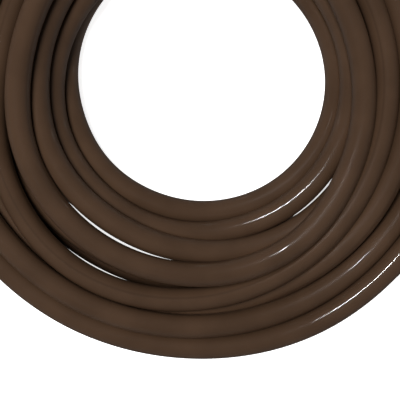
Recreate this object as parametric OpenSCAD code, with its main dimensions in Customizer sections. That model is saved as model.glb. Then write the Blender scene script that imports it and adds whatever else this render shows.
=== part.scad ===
// Soaker hose, stored as a coil, with a swivel inlet coupling, a capped outlet and three ties.
// Z is up. The origin is on the coil's axis, on the surface that the coil lies on.

/* [Hose] */
// Outer diameter of the hose
hose_od = 16.5; // [16.3:0.1:16.7]
// Bore of the hose
hose_id = 13; // [12.9:0.1:13.1]

/* [Coil] */
// Radius of the open middle of the coil
coil_inner_r = 92; // [88:1:94]
// Radius of the outside of the coil
coil_outer_r = 212; // [210:1:220]
// Height of the stacked turns
coil_h = 50; // [48:1:52]
// Rounding of the bundle's edges
coil_edge_r = 14; // [8:1:18]

/* [Inlet coupling] */
// Diameter of the swivel nut over its grip ribs
nut_d = 33; // [32:0.5:35]
// Number of grip ribs on the swivel nut
nut_ribs = 12; // [8:1:14]
// Radial play between the swivel nut and the stem's neck
swivel_play = 0.06; // [0.03:0.01:0.1]

/* [Threads] */
// Pitch radius of the 3/4 inch garden hose thread
thread_r = 12.78; // [12.7:0.01:12.8]
// Radial play of the thread
thread_play = 0.06; // [0.03:0.01:0.1]
// Length of the swivel nut's thread
nut_thread_l = 11.8; // [11:0.1:13]
// Length of the outlet's male thread
outlet_thread_l = 11; // [10:0.5:12]

/* [End cap] */
// Diameter of the end cap over its grip ribs
cap_d = 31; // [30:0.5:32]
// Number of grip ribs on the end cap
cap_ribs = 16; // [10:1:18]
// Thickness of the cap's closed end
cap_floor_t = 2.5; // [2:0.5:4]

/* [Ties] */
// Width of a tie's strap
tie_w = 4.8; // [3.6:0.4:5.2]
// Thickness of a tie's strap
tie_t = 1.2; // [1:0.1:1.4]

/* [Hidden] */
$fn = 96;

hose_r = hose_od / 2;
bore_r = hose_id / 2;
gap = 0.3;          // air between the bundle and what lies on it
fit = 0.05;         // air between pieces that seat on each other

// Lengths along a fitting's axis, from the face where its hose end begins
grip_l = 24;        // hose gripped in the ferrule
ferrule_start = 2;
ferrule_t = 1.5;
ferrule_lip_t = 1.2;
neck_start = grip_l + ferrule_lip_t;
water_r = 4.75;     // waterway through the stems
barb_root_r = 6.1;
barb_tip_r = 6.9;
barb_l = 5;
barb_count = 4;
neck_r = 8.6;

// Inlet coupling
nut_back = 29.5;
nut_shoulder_end = 33.7;
flange_start = 34;
flange_end = 36.5;
flange_r = 11.6;
nut_cavity_r = 12;
washer_t = 2.5;
nut_thread_start = flange_end + washer_t + 0.2;
nut_front = nut_thread_start + nut_thread_l;
nut_body_r = nut_d / 2 - 1.2;
nut_rib_r = 1.4;
nut_step = 0.7;     // step down to the nut's plain ends
seat_r = 7.2;       // counterbore in the stem's mouth for the restrictor and filter
seat_depth = 3;
seat_start = flange_end - seat_depth;
restrictor_t = 1.5;
restrictor_hole_r = 1.6;
filter_ring_start = seat_start + restrictor_t + fit;
filter_ring_t = 1.4;
filter_hole_r = 5.4;
screen_t = 0.4;

// Outlet and end cap
wrench_start = neck_start;
wrench_end = 32;
wrench_r = 12;
outlet_flange_end = 34.4;
outlet_flange_r = 13.8;
outlet_end = outlet_flange_end + outlet_thread_l;
cap_start = outlet_flange_end + 0.4;
cap_washer_t = 1.9;
cap_inner_end = outlet_end + cap_washer_t + 2 * fit;
cap_end = cap_inner_end + cap_floor_t;
cap_body_r = cap_d / 2 - 0.9;
cap_rib_r = 1;
cap_step = 0.6;     // step down to the cap's plain ends

// Where the fittings lie on the bundle: the inlet opens towards +X, the outlet towards -X
inlet_x = -10;
inlet_y = 186;
inlet_z = coil_h + gap + nut_d / 2;
outlet_x = -8;
outlet_y = 122;
outlet_z = coil_h + gap + cap_d / 2;

// Stretches of hose between the fittings and the bundle, as points on their centrelines.
// The last number of each point is its height above the top of the bundle.
inlet_route = [
    [-25, 185.5, 16], [-40, 183, 13.5], [-60, 178, 8.5], [-80, 170, 1], [-100, 159, -5], [-118, 146, -8.4]
];
outlet_route = [
    [7, 122, 15.5], [22, 120.5, 12.5], [37, 116.5, 7], [52, 110, 0.5], [66, 101.5, -5.5], [78, 92, -8.4]
];
lead_sides = 12;
rings_between = 2;

// Angle of each tie from the +X axis
tie_left_angle = 135;
tie_top_angle = 90;
tie_right_angle = 45;
tie_head = [9, 7, 5];
tie_tail_l = 16;
tie_head_r = 152;

// ---- shared shapes ----

// Rectangle with round corners, from corner a to corner b
module round_rect(a, b, r) {
    translate([a[0] + r, a[1]]) square([b[0] - a[0] - 2 * r, b[1] - a[1]]);
    translate([a[0], a[1] + r]) square([b[0] - a[0], b[1] - a[1] - 2 * r]);
    for (x = [a[0] + r, b[0] - r], y = [a[1] + r, b[1] - r])
        translate([x, y]) circle(r = r);
}

// The bundle's outline, inset by a distance
module bundle_outline(inset = 0) {
    round_rect([coil_inner_r + inset, inset], [coil_outer_r - inset, coil_h - inset], coil_edge_r - inset);
}

// Ring between two radii, from height z0 to z1
module ring(r_in, r_out, z0, z1) {
    translate([0, 0, z0]) difference() {
        cylinder(r = r_out, h = z1 - z0);
        translate([0, 0, -1]) cylinder(r = r_in, h = z1 - z0 + 2);
    }
}

// Puts a fitting made along +Z at its place on the bundle
module at_inlet() {
    translate([inlet_x, inlet_y, inlet_z]) rotate([0, 90, 0]) children();
}
module at_outlet() {
    translate([outlet_x, outlet_y, outlet_z]) rotate([0, -90, 0]) children();
}

// Hose end, held between the stem's barbs and the ferrule
module hose_end() {
    ring(bore_r, hose_r, 0, grip_l);
}

// Sleeve round the hose end, with a lip behind the stem's neck
module ferrule() {
    rotate_extrude() polygon([
        [hose_r + fit, ferrule_start], [hose_r + ferrule_t - 0.4, ferrule_start],
        [hose_r + ferrule_t, ferrule_start + 0.6], [hose_r + ferrule_t, neck_start - 0.6],
        [hose_r + ferrule_t - 0.6, neck_start - fit], [barb_tip_r + 0.1, neck_start - fit],
        [barb_tip_r + 0.1, grip_l + fit], [hose_r + fit, grip_l + fit]
    ]);
}

// Outline of the barbed tail of a stem, up to its neck
function barb_outline() = concat(
    [[water_r, 1], [barb_root_r - 0.4, 1]],
    [for (i = [0 : barb_count - 1], p = [
        [barb_root_r, 1.5 + i * barb_l],
        [barb_tip_r, 1.5 + (i + 0.8) * barb_l],
        [barb_root_r, 1.5 + (i + 0.85) * barb_l]
    ]) p],
    [[barb_root_r, neck_start]]
);

// Round bar with round grip ribs along it, as wide as outer_r over the ribs
module ribbed_bar(outer_r, body_r, rib_r, ribs, z0, z1) {
    translate([0, 0, z0]) linear_extrude(height = z1 - z0) {
        circle(r = body_r);
        for (i = [0 : ribs - 1])
            rotate((i + 0.5) * 360 / ribs) translate([outer_r - rib_r, 0]) circle(r = rib_r, $fn = 48);
    }
}

// ---- hose swept along a line of points ----

function unit(v) = v / norm(v);

// Point on a smooth curve between b and c, with a and d their neighbours
function smooth_point(a, b, c, d, t) = 0.5 * (
    2 * b + t * (c - a) + t * t * (2 * a - 5 * b + 4 * c - d) + t * t * t * (3 * b - a - 3 * c + d)
);

function smooth_line(p, n) = concat(
    [for (i = [0 : len(p) - 2], k = [0 : n - 1])
        smooth_point(p[max(i - 1, 0)], p[i], p[i + 1], p[min(i + 2, len(p) - 1)], k / n)],
    [p[len(p) - 1]]
);

function direction(line, i, first) = i == 0
    ? first
    : unit(line[min(i + 1, len(line) - 1)] - line[i - 1]);

// One ring of the hose's surface, square to the line
function hose_ring(centre, along) =
    let (side = unit(cross(along, [0, 0, 1])), up = cross(side, along))
    [for (k = [0 : lead_sides - 1])
        centre + hose_r * (cos(k * 360 / lead_sides) * side + sin(k * 360 / lead_sides) * up)];

module swept_hose(points, first) {
    line = smooth_line(points, rings_between);
    last = len(line) - 1;
    n = lead_sides;
    rings = [for (i = [0 : last]) each hose_ring(line[i], direction(line, i, first))];
    sides = [for (i = [0 : last - 1], k = [0 : n - 1])
        [i * n + k, (i + 1) * n + k, (i + 1) * n + (k + 1) % n, i * n + (k + 1) % n]];
    polyhedron(concat(rings), concat(
        sides, [[for (k = [0 : n - 1]) k]], [[for (k = [n - 1 : -1 : 0]) last * n + k]]
    ));
}

function on_bundle(route) = [for (p = route) [p[0], p[1], coil_h + p[2]]];

// ---- hose ----

module hose_coil() color("#4a3426") difference() {
    rotate_extrude($fn = 180) bundle_outline();
    for (a = [tie_left_angle, tie_top_angle, tie_right_angle])
        tie_band(a, tie_w / 2 + fit, tie_t + fit, 1);
}

module inlet_lead() color("#4a3426")
    swept_hose(concat([[inlet_x, inlet_y, inlet_z]], on_bundle(inlet_route)), [-1, 0, 0]);

module outlet_lead() color("#4a3426")
    swept_hose(concat([[outlet_x, outlet_y, outlet_z]], on_bundle(outlet_route)), [1, 0, 0]);

module inlet_hose_end() color("#4a3426") at_inlet() hose_end();

module outlet_hose_end() color("#4a3426") at_outlet() hose_end();

// ---- inlet coupling ----

module swivel_nut() color("#1d1d1f") at_inlet() difference() {
    union() {
        ribbed_bar(nut_d / 2, nut_body_r, nut_rib_r, nut_ribs, nut_back + 1, nut_front - 2);
        translate([0, 0, nut_back]) cylinder(r = nut_body_r - nut_step, h = nut_front - nut_back);
    }
    translate([0, 0, nut_back - 1]) cylinder(r = neck_r + swivel_play, h = nut_front);
    translate([0, 0, nut_shoulder_end]) cylinder(r = nut_cavity_r, h = nut_front);
    translate([0, 0, nut_thread_start]) cylinder(r = thread_r + thread_play, h = nut_front);
}

module inlet_stem() color("#26211e") at_inlet() rotate_extrude() polygon(concat(
    barb_outline(),
    [[neck_r, neck_start], [neck_r, flange_start], [flange_r, flange_start], [flange_r, flange_end],
     [seat_r, flange_end], [seat_r, seat_start], [water_r, seat_start]]
));

module inlet_ferrule() color("#b9bbbd") at_inlet() ferrule();

module inlet_washer() color("#141414") at_inlet()
    ring(seat_r + 0.3, nut_cavity_r - 0.2, flange_end + fit, flange_end + fit + washer_t);

module flow_restrictor() color("#7d4a2a") at_inlet()
    ring(restrictor_hole_r, seat_r - fit, seat_start + fit / 2, seat_start + restrictor_t);

module filter_ring() color("#3d4247") at_inlet()
    ring(filter_hole_r, seat_r - fit, filter_ring_start, filter_ring_start + filter_ring_t);

// Domed screen with a straight skirt inside the ring
module filter_screen() color("#a9acb0") at_inlet() {
    skirt_r = filter_hole_r - fit;
    skirt_top = filter_ring_start + filter_ring_t;
    ring(skirt_r - screen_t, skirt_r, filter_ring_start, skirt_top);
    dome_h = 2.2;
    dome_r = (skirt_r * skirt_r + dome_h * dome_h) / (2 * dome_h);
    intersection() {
        translate([0, 0, skirt_top + dome_h - dome_r]) difference() {
            sphere(r = dome_r);
            sphere(r = dome_r - screen_t);
        }
        translate([0, 0, skirt_top - 0.2]) cylinder(r = skirt_r, h = dome_h + 1);
    }
}

// ---- outlet and end cap ----

module outlet_stem() color("#26211e") at_outlet() {
    rotate_extrude() polygon(concat(
        barb_outline(),
        [[neck_r, neck_start], [neck_r, wrench_end], [outlet_flange_r, wrench_end],
         [outlet_flange_r, outlet_flange_end], [thread_r, outlet_flange_end],
         [thread_r, outlet_end - 1], [thread_r - 1, outlet_end], [water_r, outlet_end]]
    ));
    difference() {
        translate([0, 0, wrench_start]) cylinder(r = wrench_r, h = wrench_end - wrench_start, $fn = 6);
        translate([0, 0, wrench_start - 1]) cylinder(r = neck_r - 1, h = wrench_end - wrench_start + 2);
    }
}

module outlet_ferrule() color("#b9bbbd") at_outlet() ferrule();

module end_cap() color("#1d1d1f") at_outlet() difference() {
    union() {
        ribbed_bar(cap_d / 2, cap_body_r, cap_rib_r, cap_ribs, cap_start + 0.8, cap_end - 1);
        translate([0, 0, cap_start]) cylinder(r = cap_body_r - cap_step, h = cap_end - cap_start);
    }
    translate([0, 0, cap_start - 1])
        cylinder(r = thread_r + thread_play, h = cap_inner_end - cap_start + 1);
}

module cap_washer() color("#141414") at_outlet()
    ring(water_r + 0.5, thread_r - 0.6, outlet_end + fit, outlet_end + fit + cap_washer_t);

// ---- ties ----

// Band round the bundle in the upright plane at angle a, half_w to each side, cut to depth t
// into the bundle and standing proud of it by extra
module tie_band(a, half_w, t, extra = 0) {
    rotate([90, 0, a]) linear_extrude(height = 2 * half_w, center = true) difference() {
        if (extra > 0)
            translate([coil_inner_r - extra, -extra])
                square([coil_outer_r - coil_inner_r + 2 * extra, coil_h + 2 * extra]);
        else
            bundle_outline();
        bundle_outline(t);
    }
}

// Strap with its square head and the tail that comes out of it
module tie(a) color("#e4e2da") {
    tie_band(a, tie_w / 2, tie_t);
    rotate(a) translate([tie_head_r, 0, coil_h]) {
        translate([-tie_head[0] / 2, -tie_head[1] / 2, fit]) cube(tie_head);
        translate([-tie_head[0] / 2, -tie_w / 2, -tie_t / 2]) cube([tie_head[0], tie_w, tie_t]);
        translate([0, -tie_w / 2, -tie_t / 2]) cube([tie_tail_l, tie_w, 1.5 * tie_t]);
    }
}

module tie_left() tie(tie_left_angle);
module tie_top() tie(tie_top_angle);
module tie_right() tie(tie_right_angle);

hose_coil();
inlet_lead();
inlet_hose_end();
outlet_lead();
outlet_hose_end();
swivel_nut();
inlet_stem();
inlet_ferrule();
inlet_washer();
flow_restrictor();
filter_ring();
filter_screen();
outlet_stem();
outlet_ferrule();
end_cap();
cap_washer();
tie_left();
tie_top();
tie_right();
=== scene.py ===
import math

import bmesh
import bpy
import numpy as np
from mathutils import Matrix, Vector


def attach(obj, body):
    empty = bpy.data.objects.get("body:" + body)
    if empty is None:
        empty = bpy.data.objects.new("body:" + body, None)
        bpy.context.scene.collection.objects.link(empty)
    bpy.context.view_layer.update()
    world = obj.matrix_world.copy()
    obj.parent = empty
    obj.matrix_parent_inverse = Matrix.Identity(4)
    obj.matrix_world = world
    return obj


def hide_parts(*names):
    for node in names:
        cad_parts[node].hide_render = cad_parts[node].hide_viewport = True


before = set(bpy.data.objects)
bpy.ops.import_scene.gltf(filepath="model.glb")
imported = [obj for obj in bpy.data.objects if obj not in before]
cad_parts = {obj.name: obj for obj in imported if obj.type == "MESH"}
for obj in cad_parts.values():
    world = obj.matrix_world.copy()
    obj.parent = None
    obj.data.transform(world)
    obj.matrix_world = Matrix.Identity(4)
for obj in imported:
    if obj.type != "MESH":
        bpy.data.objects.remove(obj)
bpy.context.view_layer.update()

MM = 0.001

# ---------------------------------------------------------------- camera, light, floor

CAM_HEIGHT = 0.45
VIEW_HALF = 0.153        # half of the picture's width, at the floor
CAM_AT = (0.00075, -0.090)

scene = bpy.context.scene
scene.view_settings.view_transform = "Standard"
scene.view_settings.look = "None"

cam_data = bpy.data.cameras.new("camera")
cam_data.sensor_width = 36
cam_data.lens = 36 * CAM_HEIGHT / (2 * VIEW_HALF)
cam = bpy.data.objects.new("camera", cam_data)
cam.location = (*CAM_AT, CAM_HEIGHT)
scene.collection.objects.link(cam)
scene.camera = cam


LAMP_POWER, LAMP_RADIUS, LAMP_BEAM = 11, 0.032, 4.2   # watts, metres, degrees
STUDIO_LEVEL = 0.10      # what lights the hose from all round
STUDIO_GLOSS = 0.05      # what gloss sees of the studio; the camera sees it white


def placed_light(name, data, at, aim):
    light = bpy.data.objects.new(name, data)
    light.location = at
    light.rotation_mode = "QUATERNION"
    light.rotation_quaternion = (Vector(aim) - Vector(at)).to_track_quat("-Z", "Y")
    scene.collection.objects.link(light)
    return light


def area_light(name, at, aim, size, power):
    data = bpy.data.lights.new(name, "AREA")
    data.shape = "DISK"
    data.size = size
    data.energy = power
    return placed_light(name, data, at, aim)


def narrow_lamp(name, at, aim):
    """Small lamp with a narrow beam: it gives short streaks on the front right of the coil."""
    data = bpy.data.lights.new(name, "SPOT")
    data.energy = LAMP_POWER
    data.spot_size = math.radians(LAMP_BEAM)
    data.spot_blend = 0.6
    data.shadow_soft_size = LAMP_RADIUS
    return placed_light(name, data, at, aim)


overhead = area_light("overhead", (-0.45, 0.08, 1.75), (0, -0.08, 0), 0.9, 41)
overhead.visible_glossy = False
narrow_lamp("key_outer", (-0.32, 0.50, 1.44), (0.122, -0.146, 0.04))
narrow_lamp("key_inner", (-0.12, 0.65, 1.45), (0.072, -0.095, 0.05))

world = bpy.data.worlds.new("studio")
world.use_nodes = True
backdrop = world.node_tree.nodes["Background"]
backdrop.inputs["Color"].default_value = (1, 1, 1, 1)
rays = world.node_tree.nodes.new("ShaderNodeLightPath")
level = world.node_tree.nodes.new("ShaderNodeMapRange")
level.inputs["To Min"].default_value = STUDIO_LEVEL
level.inputs["To Max"].default_value = STUDIO_GLOSS
world.node_tree.links.new(rays.outputs["Is Glossy Ray"], level.inputs["Value"])
seen = world.node_tree.nodes.new("ShaderNodeMath")
seen.operation = "MAXIMUM"
world.node_tree.links.new(level.outputs["Result"], seen.inputs[0])
world.node_tree.links.new(rays.outputs["Is Camera Ray"], seen.inputs[1])
world.node_tree.links.new(seen.outputs["Value"], backdrop.inputs["Strength"])
scene.world = world

# ---------------------------------------------------------------- material helpers


class Nodes:
    """A material's node tree, built a node at a time."""

    def __init__(self, name):
        self.mat = bpy.data.materials.new(name)
        self.mat.use_nodes = True
        self.tree = self.mat.node_tree
        self.shader = self.tree.nodes["Principled BSDF"]
        self.coords = self.add("ShaderNodeTexCoord")

    def add(self, kind, inputs=(), **props):
        node = self.tree.nodes.new(kind)
        for key, value in props.items():
            setattr(node, key, value)
        for key, value in dict(inputs).items():
            if isinstance(value, bpy.types.NodeSocket):
                self.tree.links.new(value, node.inputs[key])
            else:
                node.inputs[key].default_value = value
        return node

    def set(self, **values):
        for key, value in values.items():
            socket = self.shader.inputs[key.replace("_", " ")]
            if isinstance(value, bpy.types.NodeSocket):
                self.tree.links.new(value, socket)
            else:
                socket.default_value = value

    def scaled(self, coords, scale):
        return self.add("ShaderNodeMapping", {"Vector": coords, "Scale": scale}).outputs["Vector"]

    def noise(self, scale, detail=3, coords=None, rough=0.5):
        return self.add("ShaderNodeTexNoise", {
            "Vector": coords or self.coords.outputs["Object"],
            "Scale": scale, "Detail": detail, "Roughness": rough}).outputs["Fac"]

    def remap(self, value, low, high, a, b):
        return self.add("ShaderNodeMapRange", {
            "Value": value, "From Min": low, "From Max": high, "To Min": a, "To Max": b}).outputs["Result"]

    def mix(self, factor, a, b):
        node = self.add("ShaderNodeMix", data_type="RGBA")
        for index, value in ((0, factor), (6, a), (7, b)):
            if isinstance(value, bpy.types.NodeSocket):
                self.tree.links.new(value, node.inputs[index])
            else:
                node.inputs[index].default_value = value
        return node.outputs[2]

    def maths(self, kind, a, b=0.0):
        return self.add("ShaderNodeMath", {0: a, 1: b}, operation=kind).outputs["Value"]

    def bump(self, height, strength, distance):
        normal = self.add("ShaderNodeBump", {
            "Height": height, "Strength": strength, "Distance": distance}).outputs["Normal"]
        self.tree.links.new(normal, self.shader.inputs["Normal"])


def rgba(r, g, b):
    return (r, g, b, 1.0)


# The seam's place round the hose: SEAM_V turns from its underside, SEAM_FROM metres along it
SEAM_FROM = 13.35
SEAM_V = 0.456
SEAM_TURN = 0.19         # turns round the hose for each metre along it


def hose_material():
    """Brown polyethylene: faint lines along the extrusion, slight mottling and small scuffs."""
    m = Nodes("hose_brown")
    along = m.coords.outputs["UV"]
    lines = m.noise(1.0, 2, m.scaled(along, (0.6, 46, 1)))
    mottle = m.noise(38, 4)
    scuffs = m.noise(1.0, 3, m.scaled(along, (9, 12, 1)))
    dust = m.noise(900, 2)
    # the extrusion's seam, a shallow line
    place = m.add("ShaderNodeSeparateXYZ", {"Vector": along})
    drift = m.maths("MULTIPLY", m.maths("SUBTRACT", place.outputs["X"], SEAM_FROM), SEAM_TURN)
    off = m.maths("SUBTRACT", m.maths("SUBTRACT", place.outputs["Y"], SEAM_V), drift)
    off = m.maths("ABSOLUTE", m.maths("SUBTRACT", m.maths("FRACT", m.maths("ADD", off, 0.5)), 0.5))
    seam = m.remap(off, 0.0, 0.022, 1, 0)
    base = m.mix(m.remap(mottle, 0.35, 0.65, 0, 1), rgba(0.050, 0.0280, 0.0162), rgba(0.060, 0.0337, 0.0196))
    base = m.mix(m.remap(lines, 0.55, 0.75, 0, 0.30), base, rgba(0.064, 0.036, 0.021))
    base = m.mix(m.remap(scuffs, 0.66, 0.80, 0, 0.25), base, rgba(0.085, 0.052, 0.035))
    base = m.mix(m.maths("MULTIPLY", seam, 0.45), base, rgba(0.030, 0.0160, 0.0090))
    rough = m.maths("ADD", m.remap(mottle, 0.3, 0.7, 0.38, 0.46), m.remap(scuffs, 0.6, 0.8, 0, 0.12))
    m.set(Base_Color=base, Roughness=rough, Specular_IOR_Level=0.35, Coat_Weight=0.5, Coat_Roughness=0.07)
    height = m.maths("ADD", m.maths("MULTIPLY", lines, 0.6), m.maths("MULTIPLY", dust, 0.25))
    height = m.maths("SUBTRACT", height, seam)
    m.bump(height, 0.22, 0.0003)
    return m.mat


def floor_material():
    m = Nodes("pale_floor")
    grain = m.noise(140, 3)
    m.set(Base_Color=m.mix(m.remap(grain, 0.3, 0.7, 0, 1), rgba(0.90, 0.90, 0.90), rgba(0.93, 0.93, 0.93)),
          Roughness=0.9, Emission_Color=rgba(1, 1, 1), Emission_Strength=0.85)
    return m.mat


FLOOR_SIZE, FLOOR_Z = 9, -0.0002   # just under the hose, so that the two don't flicker
bpy.ops.mesh.primitive_plane_add(size=FLOOR_SIZE, location=(0, 0, FLOOR_Z))
floor = bpy.context.object
floor.name = "floor"
floor.data.materials.append(floor_material())
floor.visible_glossy = False

# ---------------------------------------------------------------- hose: the coil

HOSE_D = 16.5
HOSE_BORE_R = 6.5
TURN_STEPS = 180
DEG_PER_STEP = 360 / TURN_STEPS

# Radius in mm of each turn, every 30 degrees from the back of the coil, by the left, the front and
# the right. The hose runs from the inlet, through the turns in this order, to the outlet.
# The last value says how firmly the turn keeps to its radii.
TURNS = [
    ([188, 188, 197, 203, 202, 199, 197, 198, 200, 201, 201, 199], 0.25),
    ([197, 194, 190, 185, 176, 172, 172, 178, 185, 186, 185, 182], 1),
    ([180, 177, 172, 163, 155, 152, 154, 165, 171, 171, 169, 166], 1),
    ([163, 160, 156, 146, 129, 122, 126, 149, 155, 154, 153, 150], 1),
    ([147, 144, 140, 131, 118, 111, 115, 133, 138, 137, 136, 133], 0.5),
    ([131, 127, 123, 114, 104, 101, 101, 108, 115, 118, 119, 117], 1),
    ([113, 104, 102, 101, 101, 102, 103, 104, 104, 104, 102, 100], 1),
    ([101, 101, 102, 105, 109, 112, 115, 114, 112, 110, 108, 109], 1),
    ([114, 112, 109, 112, 118, 120, 125, 130, 133, 133, 132, 132], 1),
    ([136, 142, 147, 149, 147, 145, 144, 145, 149, 152, 154, 155], 1),
    ([160, 168, 174, 180, 185, 187, 187, 187, 188, 189, 190, 192], 0.25),
    ([194, 193, 192, 194, 194, 194, 192, 191, 189, 189, 189, 185], 1),
    ([178, 173, 172, 176, 180, 181, 181, 180, 176, 173, 171, 166], 1),
    ([160, 157, 157, 161, 169, 173, 169, 161, 152, 147, 145, 143], 1),
    ([140, 138, 137, 141, 156, 165, 160, 150, 138, 132, 128, 125], 1),
    ([122, 119, 116, 119, 130, 138, 140, 137, 124, 114, 112, 119], 1),
]
# Which turn lies under which: each rests on the ones before it
RESTING_ORDER = [0, 1, 2, 3, 5, 4, 10, 9, 6, 7, 8, 11, 13, 12, 14, 15]
COIL_START = -141        # clock angle where the inlet lead joins the coil
COIL_END = 140           # clock angle where the outlet lead leaves it
LEAD_Z = 41.6            # height of the coil's two ends, where the leads join it

# Stretches between the fittings and the coil, in mm: the route of the CAD model's leads
INLET_FACE = (-10, 186, 66.8)
INLET_ROUTE = [(-25, 185.5, 66), (-40, 183, 63.5), (-60, 178, 58.5), (-80, 170, 51), (-100, 159, 45),
               (-118, 146, 41.6)]
OUTLET_FACE = (-8, 122, 65.8)
OUTLET_ROUTE = [(7, 122, 65.5), (22, 120.5, 62.5), (37, 116.5, 57), (52, 110, 50.5), (66, 101.5, 44.5),
                (78, 92, 41.6)]
GRIP_L = 24              # hose inside each ferrule

# Ties, as clock angles, and the room that a strap takes under the coil
TIE_ANGLES = {"tie_left": 135, "tie_top": 90, "tie_right": 45}
TIE_W, TIE_T = 4.8, 1.2
TIE_HEAD_R = 152         # where the head lies, from the coil's middle
TIE_SLOT_Z = 1.95        # the slot's middle above the strap's
TIE_TAIL_L = 16
TIE_TOP_Z = 58           # the fittings lie above this and stay out of the ties
TIE_LIFT, TIE_LIFT_SPREAD = TIE_T + 0.6, 8   # how far the coil rises over a strap, and over how many degrees

# Settling, as (rounds, weight in mm a round, pull to the wanted radius, stiffness): the last stages let it rest
SETTLING = ((500, 0.10, 0.25, 0.30), (150, 0.02, 0.08, 0.15), (80, 0.0, 0.0, 0.03))
PUSH = 0.7               # share of an overlap that one push clears


def rolling_mean(a, half):
    n = 2 * half + 1
    return np.convolve(np.pad(a, half, mode="edge"), np.ones(n) / n, "valid")


def through_controls(values, at):
    """Smooth curve through values spaced 30 degrees apart, from -180 degrees on."""
    v = np.array(values, float)
    slope = np.gradient(v)
    i = np.clip(((at + 180) // 30).astype(int), 0, len(v) - 2)
    u = (at + 180) / 30 - i
    return ((2 * u**3 - 3 * u**2 + 1) * v[i] + (u**3 - 2 * u**2 + u) * slope[i]
            + (3 * u**2 - 2 * u**3) * v[i + 1] + (u**3 - u**2) * slope[i + 1])


def coil_line():
    """Radius, height and angle along the coil: the turns are laid on each other in resting order, then
    settled by pushing overlapping turns apart and off the floor. The leads at its two ends take no part,
    so nothing here keeps them out of the turns."""
    count = len(TURNS)
    per = TURN_STEPS
    controls = [r for radii, _ in TURNS for r in radii] + [TURNS[-1][0][-1]]
    at = np.arange(count * per + 1) * DEG_PER_STEP - 180
    wanted = through_controls(controls, at)
    first = int((COIL_START + 180) / DEG_PER_STEP)
    last = int((count - 1) * per + (COIL_END + 180) / DEG_PER_STEP)
    there = np.zeros(len(at), bool)
    there[first:last + 1] = True

    # the floor, raised where a strap runs under the coil
    clock = (at + 180) % 360 - 180
    ground = np.full(len(at), HOSE_D / 2)
    for angle in TIE_ANGLES.values():
        off = (clock - (angle + 90) + 180) % 360 - 180
        ground += TIE_LIFT * np.exp(-(off / TIE_LIFT_SPREAD) ** 2)

    firm = np.repeat([f for _, f in TURNS], per)
    firm = rolling_mean(np.append(firm, firm[-1]), 10)
    yield_ = 1 - 0.75 * (firm - 0.25) / 0.75

    z = ground.copy()
    laid = []
    for k in RESTING_ORDER:
        own = slice(k * per, (k + 1) * per + 1)
        need = ground[own].copy()
        for j in laid:
            other = slice(j * per, (j + 1) * per + 1)
            across = np.abs(wanted[own] - wanted[other])
            meets = there[other] & (across < HOSE_D)
            on_top = z[other] + np.sqrt(np.maximum(HOSE_D**2 - across**2, 0))
            need = np.maximum(need, np.where(meets, on_top, 0))
        rest = need.copy()
        for _ in range(30):
            rest = np.maximum(need, rolling_mean(rest, 4))
        z[own] = rest
        laid.append(k)
    z = rolling_mean(rolling_mean(z, 6), 6)
    r = wanted.copy()

    for rounds, weight, pull, stiff in SETTLING:
        for _ in range(rounds):
            z = z - weight
            r = r + pull * firm * (wanted - r)
            off = r - wanted
            r = r + stiff * (rolling_mean(rolling_mean(off, 6), 6) - off)
            z = z + stiff * (rolling_mean(rolling_mean(z, 6), 6) - z)
            z[:first + 1] = LEAD_Z
            z[last:] = LEAD_Z
            for _ in range(2):
                push_r = np.zeros_like(r)
                push_z = np.zeros_like(z)
                for turns_apart in range(1, count + 1):
                    gap = turns_apart * per
                    if gap >= len(r):
                        break
                    a, b = slice(0, len(r) - gap), slice(gap, len(r))
                    dr, dz = r[b] - r[a], z[b] - z[a]
                    apart = np.hypot(dr, dz) + 1e-6
                    lack = np.where((apart < HOSE_D) & there[a] & there[b], HOSE_D - apart, 0) / apart
                    share = yield_[a] / (yield_[a] + yield_[b])
                    push_r[b] += (1 - share) * lack * dr
                    push_r[a] -= share * lack * dr
                    push_z[b] += 0.5 * lack * dz
                    push_z[a] -= 0.5 * lack * dz
                r = r + PUSH * push_r
                z = np.maximum(z + PUSH * push_z, ground)
    keep = slice(first, last + 1)
    return r[keep], z[keep], at[keep]


def plan_point(r, z, clock):
    a = math.radians(clock - 90)
    return np.array([r * math.cos(a), r * math.sin(a), z])


def resample(points, step):
    """The line again with points an equal step apart."""
    points = np.asarray(points, float)
    run = np.concatenate([[0], np.cumsum(np.linalg.norm(np.diff(points, axis=0), axis=1))])
    n = max(2, int(round(run[-1] / step)) + 1)
    return np.stack([np.interp(np.linspace(0, run[-1], n), run, points[:, i]) for i in range(3)], 1)


def smooth_through(points, per_gap):
    p = [np.array(q, float) for q in points]
    line = []
    for i in range(len(p) - 1):
        a, b, c, d = p[max(i - 1, 0)], p[i], p[i + 1], p[min(i + 2, len(p) - 1)]
        for k in range(per_gap):
            t = k / per_gap
            line.append(0.5 * (2 * b + t * (c - a) + t * t * (2 * a - 5 * b + 4 * c - d)
                               + t**3 * (3 * b - a - 3 * c + d)))
    line.append(p[-1])
    return line


def ease(line, half, rounds, hold):
    """Rounds off the line's small kinks, keeping the first and last hold points."""
    line = line.copy()
    for _ in range(rounds):
        eased = np.stack([rolling_mean(line[:, i], half) for i in range(3)], 1)
        line[hold:-hold] = eased[hold:-hold]
    return line


coil_r, coil_z, coil_at = coil_line()
coil = np.array([plan_point(r, z, a) for r, z, a in zip(coil_r, coil_z, coil_at)])
inlet_end = (INLET_FACE[0] + GRIP_L, *INLET_FACE[1:])
outlet_end = (OUTLET_FACE[0] - GRIP_L, *OUTLET_FACE[1:])
lead_in = smooth_through([inlet_end, INLET_FACE] + INLET_ROUTE[:-1], 8)
lead_out = smooth_through(OUTLET_ROUTE[-2::-1] + [OUTLET_FACE, outlet_end], 8)
route = np.array(lead_in + [coil[2]] + list(coil[4:-4]) + [coil[-3]] + lead_out)
HOSE_STEP = 4.0          # mm between the hose's rings
hose_line = ease(resample(route, HOSE_STEP), half=2, rounds=6, hold=8)


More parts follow.
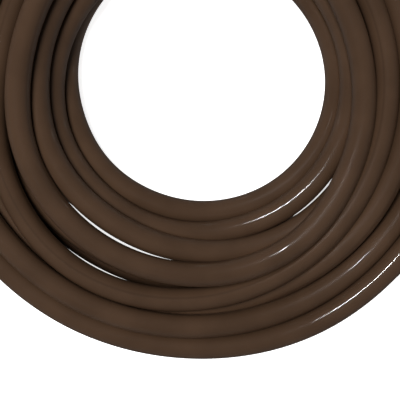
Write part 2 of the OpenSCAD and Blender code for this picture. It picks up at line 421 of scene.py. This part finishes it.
def frames_along(line):
    """Unit tangent, side and up at each point, with the side kept level."""
    tangent = np.gradient(line, axis=0)
    tangent /= np.linalg.norm(tangent, axis=1)[:, None]
    side = np.cross(tangent, [0, 0, 1.0])
    side /= np.linalg.norm(side, axis=1)[:, None]
    return tangent, side, np.cross(side, tangent)


def new_object(name, verts, faces, uvs=None, smooth=True):
    mesh = bpy.data.meshes.new(name)
    mesh.from_pydata([tuple(v) for v in verts], [], faces)
    if uvs is not None:
        layer = mesh.uv_layers.new(name="UVMap")
        for poly in mesh.polygons:
            for loop in poly.loop_indices:
                layer.data[loop].uv = uvs[poly.index][loop - poly.loop_start]
    mesh.validate()
    if smooth:
        mesh.polygons.foreach_set("use_smooth", [True] * len(mesh.polygons))
    mesh.update()
    piece = bpy.data.objects.new(name, mesh)
    scene.collection.objects.link(piece)
    return piece


def hose_mesh(name, line, sides=28, bore_n=8):
    """Tube round the line, with its bore open at both ends for bore_n steps."""
    tangent, side, up = frames_along(line)
    run = np.concatenate([[0], np.cumsum(np.linalg.norm(np.diff(line, axis=0), axis=1))])
    order = ([(i, HOSE_BORE_R) for i in range(bore_n, -1, -1)]
             + [(i, HOSE_D / 2) for i in range(len(line))]
             + [(i, HOSE_BORE_R) for i in range(len(line) - 1, len(line) - 2 - bore_n, -1)])
    spin = np.arange(sides) * 2 * math.pi / sides - math.pi / 2
    verts, faces, uvs = [], [], []
    for i, radius in order:
        ring = line[i] + radius * (np.outer(np.cos(spin), side[i]) + np.outer(np.sin(spin), up[i]))
        verts.extend(ring * MM)
    for j in range(len(order) - 1):
        u0, u1 = run[order[j][0]] * MM, run[order[j + 1][0]] * MM
        for k in range(sides):
            n = (k + 1) % sides
            faces.append((j * sides + k, (j + 1) * sides + k, (j + 1) * sides + n, j * sides + n))
            v0, v1 = k / sides, (k + 1) / sides
            uvs.append([(u0, v0), (u1, v0), (u1, v1), (u0, v1)])
    faces.append(tuple(range(sides)))
    faces.append(tuple((len(order) - 1) * sides + k for k in range(sides - 1, -1, -1)))
    uvs += [[(0, 0)] * sides] * 2
    return new_object(name, verts, faces, uvs)


hose = hose_mesh("hose", hose_line)
hose.data.materials.append(hose_material())
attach(hose, "hose_assembly")
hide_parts("hose_coil", "inlet_lead", "inlet_hose_end", "outlet_lead", "outlet_hose_end")

# ---------------------------------------------------------------- ties


def turns_across(out):
    """Centres, as (radius, height), of the turns that cross the upright plane along out."""
    across = hose_line[:, 0] * -out[1] + hose_line[:, 1] * out[0]
    reach = hose_line[:, 0] * out[0] + hose_line[:, 1] * out[1]
    found = []
    for i in range(len(across) - 1):
        if across[i] * across[i + 1] <= 0 and reach[i] > 0 and across[i] != across[i + 1]:
            t = across[i] / (across[i] - across[i + 1])
            height = hose_line[i, 2] + t * (hose_line[i + 1, 2] - hose_line[i, 2])
            if height < TIE_TOP_Z:
                found.append((reach[i] + t * (reach[i + 1] - reach[i]), height))
    return found


def tight_loop(centres, radius):
    """Corners of the loop drawn tight round circles, from the lowest radius, over the top first."""
    around = np.arange(72) * math.pi / 36
    points = sorted((round(c[0] + radius * math.cos(a), 4), round(c[1] + radius * math.sin(a), 4))
                    for c in centres for a in around)
    halves = []
    for run in (points, points[::-1]):
        half = []
        for p in run:
            while len(half) > 1 and ((half[-1][0] - half[-2][0]) * (p[1] - half[-2][1])
                                     - (half[-1][1] - half[-2][1]) * (p[0] - half[-2][0])) >= 0:
                half.pop()
            half.append(p)
        halves.append(half[:-1])
    return np.array(halves[0] + halves[1])


def strap_path(out):
    """Middle line of one strap: from under the head, outward round the turns, back through the head
    and out as the tail. Also the head's middle and the strap's direction there."""
    loop = tight_loop(turns_across(out), HOSE_D / 2 + TIE_T / 2 + 0.05)
    after = np.roll(loop, -1, axis=0)
    length = np.linalg.norm(after - loop, axis=1)
    middle = (after + loop) / 2
    flat = (length > 7) & (after[:, 0] > loop[:, 0]) & (middle[:, 1] > 30)
    best = min(np.flatnonzero(flat), key=lambda i: abs(middle[i, 0] - TIE_HEAD_R))
    head, way = middle[best], (after[best] - loop[best]) / length[best]
    up = np.array([-way[1], way[0]])
    corners = np.vstack([[head], np.roll(loop, -best - 1, axis=0), [head]])
    run = np.concatenate([[0], np.cumsum(np.linalg.norm(np.diff(corners, axis=0), axis=1))])
    at = np.linspace(0, run[-1] - 5, int(run[-1] / 1.0))
    line = np.stack([np.interp(at, run, corners[:, i]) for i in range(2)], 1)
    rise = np.clip((at - run[-1] + 14) / 9, 0, 1)
    line += np.outer(TIE_SLOT_Z * rise**2 * (3 - 2 * rise), up)
    beyond = np.arange(-4.2, TIE_TAIL_L + 0.1, 0.8)
    lift = TIE_SLOT_Z + 2.2 * (np.clip(beyond - 4, 0, None) / 12) ** 2
    tail = head + np.outer(beyond, way) + np.outer(lift, up)
    return np.vstack([line, tail]), head, way, up


def strap_mesh(name, line, out):
    """Strap with eased edges and a toothed channel along its inner face."""
    w, t, c = TIE_W / 2, TIE_T / 2, 0.25
    side = np.array([-out[1], out[0], 0])
    way = np.gradient(line, axis=0)
    way /= np.linalg.norm(way, axis=1)[:, None]
    verts, faces = [], []
    for i, (p, d) in enumerate(zip(line, way)):
        normal = np.array([-d[1] * out[0], -d[1] * out[1], d[0]])
        place = np.array([p[0] * out[0], p[0] * out[1], p[1]])
        depth = t - (0.15 if i % 2 else 0.34)
        narrow = min(1.0, 0.62 + 0.13 * (len(line) - 1 - i))
        section = [(-w + c, t), (w - c, t), (w, t - c), (w, -t + c), (w - c, -t), (w - 0.9, -t),
                   (w - 1.1, -depth), (-w + 1.1, -depth), (-w + 0.9, -t), (-w + c, -t),
                   (-w, -t + c), (-w, t - c)]
        verts.extend((place + a * narrow * side + b * normal) * MM for a, b in section)
    n = 12               # points in the section
    for j in range(len(line) - 1):
        a, b = j * n, (j + 1) * n
        faces.extend((a + k, b + k, b + (k + 1) % n, a + (k + 1) % n) for k in range(n))
    faces.append(tuple(range(n)))
    faces.append(tuple((len(line) - 1) * n + k for k in range(n - 1, -1, -1)))
    return new_object(name, verts, faces, smooth=False)


def head_mesh(name, head, way, up, out):
    """Head of a tie: a block with rounded edges and a slot right through it for the strap."""
    half_l, half_w, low, high = 4.5, 3.5, -TIE_T / 2, 4.4
    slot_w, slot_low, slot_high = TIE_W / 2 + 0.15, TIE_SLOT_Z - 0.75, TIE_SLOT_Z + 0.75
    side = np.array([-out[1], out[0], 0])
    along = np.array([way[0] * out[0], way[0] * out[1], way[1]])
    rise = np.array([up[0] * out[0], up[0] * out[1], up[1]])
    middle = np.array([head[0] * out[0], head[0] * out[1], head[1]])
    outer = [(-half_w, low), (half_w, low), (half_w, high), (-half_w, high)]
    inner = [(-slot_w, slot_low), (slot_w, slot_low), (slot_w, slot_high), (-slot_w, slot_high)]
    verts = [(middle + end * half_l * along + a * side + b * rise) * MM
             for end in (-1, 1) for ring in (outer, inner) for a, b in ring]
    faces = []
    for k in range(4):
        n = (k + 1) % 4
        faces += [(k, n, 8 + n, 8 + k), (4 + k, 12 + k, 12 + n, 4 + n),
                  (k, 4 + k, 4 + n, n), (8 + k, 8 + n, 12 + n, 12 + k)]
    piece = new_object(name, verts, faces, smooth=False)
    shape = bmesh.new()
    shape.from_mesh(piece.data)
    bmesh.ops.recalc_face_normals(shape, faces=shape.faces)
    bmesh.ops.bevel(shape, geom=shape.edges[:], offset=0.35 * MM, segments=2, profile=0.6, affect="EDGES")
    shape.to_mesh(piece.data)
    shape.free()
    return piece


# ---------------------------------------------------------------- finishes


def plastic(name, dark, light, rough, grain=420, depth=0.00008):
    """Moulded plastic: slightly clouded colour and fine grain."""
    m = Nodes(name)
    cloud = m.noise(60, 3)
    fine = m.noise(grain, 4)
    m.set(Base_Color=m.mix(m.remap(cloud, 0.3, 0.7, 0, 1), rgba(*dark), rgba(*light)),
          Roughness=m.remap(fine, 0.3, 0.7, rough - 0.06, rough + 0.08))
    m.bump(fine, 0.35, depth)
    return m.mat


def metal(name, dark, light, rough):
    """Metal with fine turning marks round X."""
    m = Nodes(name)
    turned = m.noise(1.0, 3, m.scaled(m.coords.outputs["Object"], (900, 60, 60)))
    m.set(Base_Color=m.mix(m.remap(turned, 0.3, 0.7, 0, 1), rgba(*dark), rgba(*light)),
          Roughness=m.remap(turned, 0.3, 0.7, rough - 0.07, rough + 0.07), Metallic=1.0)
    m.bump(turned, 0.25, 0.00005)
    return m.mat


FINISHES = {
    "coupling_plastic": plastic("coupling_black", (0.022, 0.022, 0.024), (0.034, 0.034, 0.037), 0.42),
    "stem_plastic": plastic("stem_brown", (0.048, 0.035, 0.028), (0.066, 0.050, 0.040), 0.36),
    "ferrule": metal("ferrule_aluminium", (0.62, 0.63, 0.64), (0.76, 0.77, 0.78), 0.34),
    "seal": plastic("seal_rubber", (0.010, 0.010, 0.010), (0.018, 0.018, 0.018), 0.68, 700),
    "restrictor": plastic("restrictor_tan", (0.20, 0.085, 0.035), (0.25, 0.11, 0.05), 0.5),
    "filter_rim": plastic("filter_rim_grey", (0.045, 0.052, 0.060), (0.060, 0.070, 0.080), 0.4),
    "screen": metal("screen_steel", (0.50, 0.51, 0.52), (0.62, 0.63, 0.64), 0.34),
    "tie": plastic("tie_nylon", (0.70, 0.68, 0.62), (0.78, 0.76, 0.70), 0.38, 260),
}
NODE_SLOT = {
    "swivel_nut": "coupling_plastic", "inlet_stem": "stem_plastic", "inlet_ferrule": "ferrule",
    "inlet_washer": "seal", "flow_restrictor": "restrictor", "filter_ring": "filter_rim",
    "filter_screen": "screen", "outlet_stem": "stem_plastic", "outlet_ferrule": "ferrule",
    "end_cap": "coupling_plastic", "cap_washer": "seal",
}
CARRIED_OVER = ("inlet_stem", "inlet_washer", "flow_restrictor", "filter_ring", "cap_washer")
for node in CARRIED_OVER:
    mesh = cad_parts[node].data
    mesh.materials.clear()
    mesh.materials.append(FINISHES[NODE_SLOT[node]])

# ---------------------------------------------------------------- fittings: threads, crimps, filter cloth

INLET_AXIS, OUTLET_AXIS = (186, 66.8), (122, 65.8)   # Y and Z of each fitting's axis
THREAD_PITCH = 2.209     # 11.5 turns to the inch
THREAD_STEPS = 48        # cutter's rings for each turn
MOUTH_HALF, ROOT_HALF = 0.95, 0.12   # half widths of the groove
CUT_FROM = 0.04          # radians: keeps a cutter's points off the edges of the round it cuts
# Each thread: from and to along X, then the radii of the groove's mouth and root
NUT_THREAD = ((31.3, 42.5), 12.2, 13.4)
OUTLET_THREAD = ((-54.5, -44.4), 13.6, 12.15)
CAP_THREAD = ((-52.2, -41.6), 12.2, 13.3)
FERRULE = {"start": 2, "end": 25.15, "r": 9.75, "bore_r": 8.3, "lip_r": 7.0, "lip_from": 24.05}
CRIMPS = (5.5, 10.5, 15.5, 20.5)
CRIMP_HALF, CRIMP_DEPTH = 1.3, 0.6
CLOTH_R, CLOTH_DOME_R, CLOTH_MIDDLE = 5.25, 7.4, 31.05
CLOTH_PITCH, WIRE_R = 0.62, 0.12
CLOTH_STEP = 0.2         # mm between a wire's rings
SKIRT = ((4.95, 35.05), (5.35, 35.05), (5.35, 36.45), (4.95, 36.45))


def swept(verts, faces, rings, closed):
    """Adds a skin over equal rings of points: closed on itself, or with a cap at each end."""
    start, n = len(verts), len(rings[0])
    for ring in rings:
        verts.extend(ring)
    count = len(rings)
    for j in range(count if closed else count - 1):
        a, b = start + j * n, start + (j + 1) % count * n
        faces.extend((a + k, b + k, b + (k + 1) % n, a + (k + 1) % n) for k in range(n))
    if not closed:
        faces.append(tuple(start + k for k in range(n)))
        faces.append(tuple(start + (count - 1) * n + k for k in range(n - 1, -1, -1)))


def about_x(profile, origin_x, facing, axis, angle):
    """A profile of (radius, distance along the fitting) turned to one angle about the axis."""
    y, z = math.cos(angle), math.sin(angle)
    return [np.array([origin_x + facing * w, axis[0] + r * y, axis[1] + r * z]) * MM for r, w in profile]


def tidy_normals(piece, sharp_above=35):
    shape = bmesh.new()
    shape.from_mesh(piece.data)
    bmesh.ops.recalc_face_normals(shape, faces=shape.faces)
    shape.to_mesh(piece.data)
    shape.free()
    piece.data.polygons.foreach_set("use_smooth", [True] * len(piece.data.polygons))
    piece.data.set_sharp_from_angle(angle=math.radians(sharp_above))


def ferrule_piece(name, origin_x, facing, axis):
    """Ferrule with a ring crimped into it over each barb's tip."""
    f = FERRULE
    profile = [(f["bore_r"], f["start"]), (f["r"] - 0.4, f["start"])]
    for w in np.arange(f["start"] + 0.6, f["end"] - 0.5, 0.26):
        off = min(abs(w - c) for c in CRIMPS) / CRIMP_HALF
        dip = CRIMP_DEPTH * (0.5 + 0.5 * math.cos(math.pi * off)) if off < 1 else 0
        profile.append((f["r"] - dip, w))
    profile += [(f["r"] - 0.6, f["end"]), (f["lip_r"], f["end"]),
                (f["lip_r"], f["lip_from"]), (f["bore_r"], f["lip_from"])]
    verts, faces = [], []
    turns = np.arange(72) * math.pi / 36
    swept(verts, faces, [about_x(profile, origin_x, facing, axis, a) for a in turns], closed=True)
    piece = new_object(name, verts, faces)
    tidy_normals(piece)
    return piece


def threaded_piece(name, node, axis, span, mouth_r, root_r):
    """The CAD node with a right-hand groove cut along it, wide at its mouth and narrow at its root. Each
    thread keeps its lands at the pitch radius, so a male and a female one don't reach into each other."""
    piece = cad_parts[node].copy()
    piece.data = piece.data.copy()
    piece.name = name
    piece.parent = None
    scene.collection.objects.link(piece)
    shape = bmesh.new()
    shape.from_mesh(piece.data)
    bmesh.ops.remove_doubles(shape, verts=shape.verts, dist=1e-6)
    shape.to_mesh(piece.data)
    shape.free()
    profile = [(mouth_r, -MOUTH_HALF), (mouth_r, MOUTH_HALF), (root_r, ROOT_HALF), (root_r, -ROOT_HALF)]
    steps = int((span[1] - span[0]) / THREAD_PITCH * THREAD_STEPS)
    rings = []
    for i in range(steps + 1):
        x = span[0] + i / THREAD_STEPS * THREAD_PITCH
        rings.append(about_x(profile, x, 1, axis, CUT_FROM + i * 2 * math.pi / THREAD_STEPS))
    verts, faces = [], []
    swept(verts, faces, rings, closed=False)
    cutter = new_object(name + "_cutter", verts, faces)
    tidy_normals(cutter)
    groove = piece.modifiers.new("thread", "BOOLEAN")
    groove.operation, groove.solver, groove.object = "DIFFERENCE", "EXACT", cutter
    graph = bpy.context.evaluated_depsgraph_get()
    piece.data = bpy.data.meshes.new_from_object(piece.evaluated_get(graph))
    piece.modifiers.clear()
    bpy.data.objects.remove(cutter)
    tidy_normals(piece, 30)
    return piece


def filter_cloth(name, origin_x, axis):
    """Domed cloth of wires that cross over and under, in a short tube."""
    verts, faces = [], []
    turns = np.arange(48) * math.pi / 24
    swept(verts, faces, [about_x(SKIRT, origin_x, 1, axis, a) for a in turns], closed=True)
    reach = int(CLOTH_R / CLOTH_PITCH)
    for lying in (0, 1):
        for k in range(-reach, reach + 1):
            across = k * CLOTH_PITCH
            half = math.sqrt(CLOTH_R**2 - across**2)
            rings = []
            for t in np.linspace(-half, half, max(6, int(2 * half / CLOTH_STEP))):
                over = WIRE_R * math.cos(math.pi * t / CLOTH_PITCH) * (1 if (k + lying) % 2 else -1)
                x = origin_x + CLOTH_MIDDLE + math.sqrt(CLOTH_DOME_R**2 - across**2 - t**2) + over
                ring = []
                for dx, dside in ((WIRE_R, 0), (0, WIRE_R), (-WIRE_R, 0), (0, -WIRE_R)):
                    y, z = (across + dside, t) if lying else (t, across + dside)
                    ring.append(np.array([x + dx, axis[0] + y, axis[1] + z]) * MM)
                rings.append(ring)
            swept(verts, faces, rings, closed=False)
    piece = new_object(name, verts, faces)
    tidy_normals(piece, 50)
    return piece


fitting_pieces = {
    "inlet_ferrule": ferrule_piece("inlet_ferrule_crimped", INLET_FACE[0], 1, INLET_AXIS),
    "outlet_ferrule": ferrule_piece("outlet_ferrule_crimped", OUTLET_FACE[0], -1, OUTLET_AXIS),
    "swivel_nut": threaded_piece("swivel_nut_threaded", "swivel_nut", INLET_AXIS, *NUT_THREAD),
    "outlet_stem": threaded_piece("outlet_stem_threaded", "outlet_stem", OUTLET_AXIS, *OUTLET_THREAD),
    "end_cap": threaded_piece("end_cap_threaded", "end_cap", OUTLET_AXIS, *CAP_THREAD),
    "filter_screen": filter_cloth("filter_cloth", INLET_FACE[0], INLET_AXIS),
}
RIDES = {"swivel_nut": "nut", "end_cap": "cap"}
for node, piece in fitting_pieces.items():
    piece.data.materials.clear()
    piece.data.materials.append(FINISHES[NODE_SLOT[node]])
    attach(piece, RIDES.get(node, "hose_assembly"))
    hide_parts(node)

tie_pieces = []
for tie, angle in TIE_ANGLES.items():
    towards = np.array([math.cos(math.radians(angle)), math.sin(math.radians(angle))])
    tie_line, tie_head, tie_way, tie_up = strap_path(towards)
    strap = strap_mesh(tie + "_strap", tie_line, towards)
    block = head_mesh(tie + "_head", tie_head, tie_way, tie_up, towards)
    tie_pieces += [strap, block]
    for piece in (strap, block):
        piece.data.materials.append(FINISHES["tie"])
        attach(piece, "hose_assembly")
        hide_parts(tie)

# ---------------------------------------------------------------- fittings' light

# Soft boxes that only the fittings and ties see: black plastic and bare metal show little without them
SOFT_BOXES = (((0.45, 0.75, 0.75), 7), ((-0.75, 0.35, 0.60), 4), ((0.10, -0.70, 0.80), 3))   # place, watts
SOFT_BOX_AIM, SOFT_BOX_SIZE = (0, 0.15, 0.06), 0.6
fittings = bpy.data.collections.new("fittings")
carried_over = [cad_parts[node] for node in CARRIED_OVER]
for piece in carried_over + list(fitting_pieces.values()) + tie_pieces:
    fittings.objects.link(piece)
for at, power in SOFT_BOXES:
    soft_box = area_light("soft_box", at, SOFT_BOX_AIM, SOFT_BOX_SIZE, power)
    soft_box.light_linking.receiver_collection = fittings
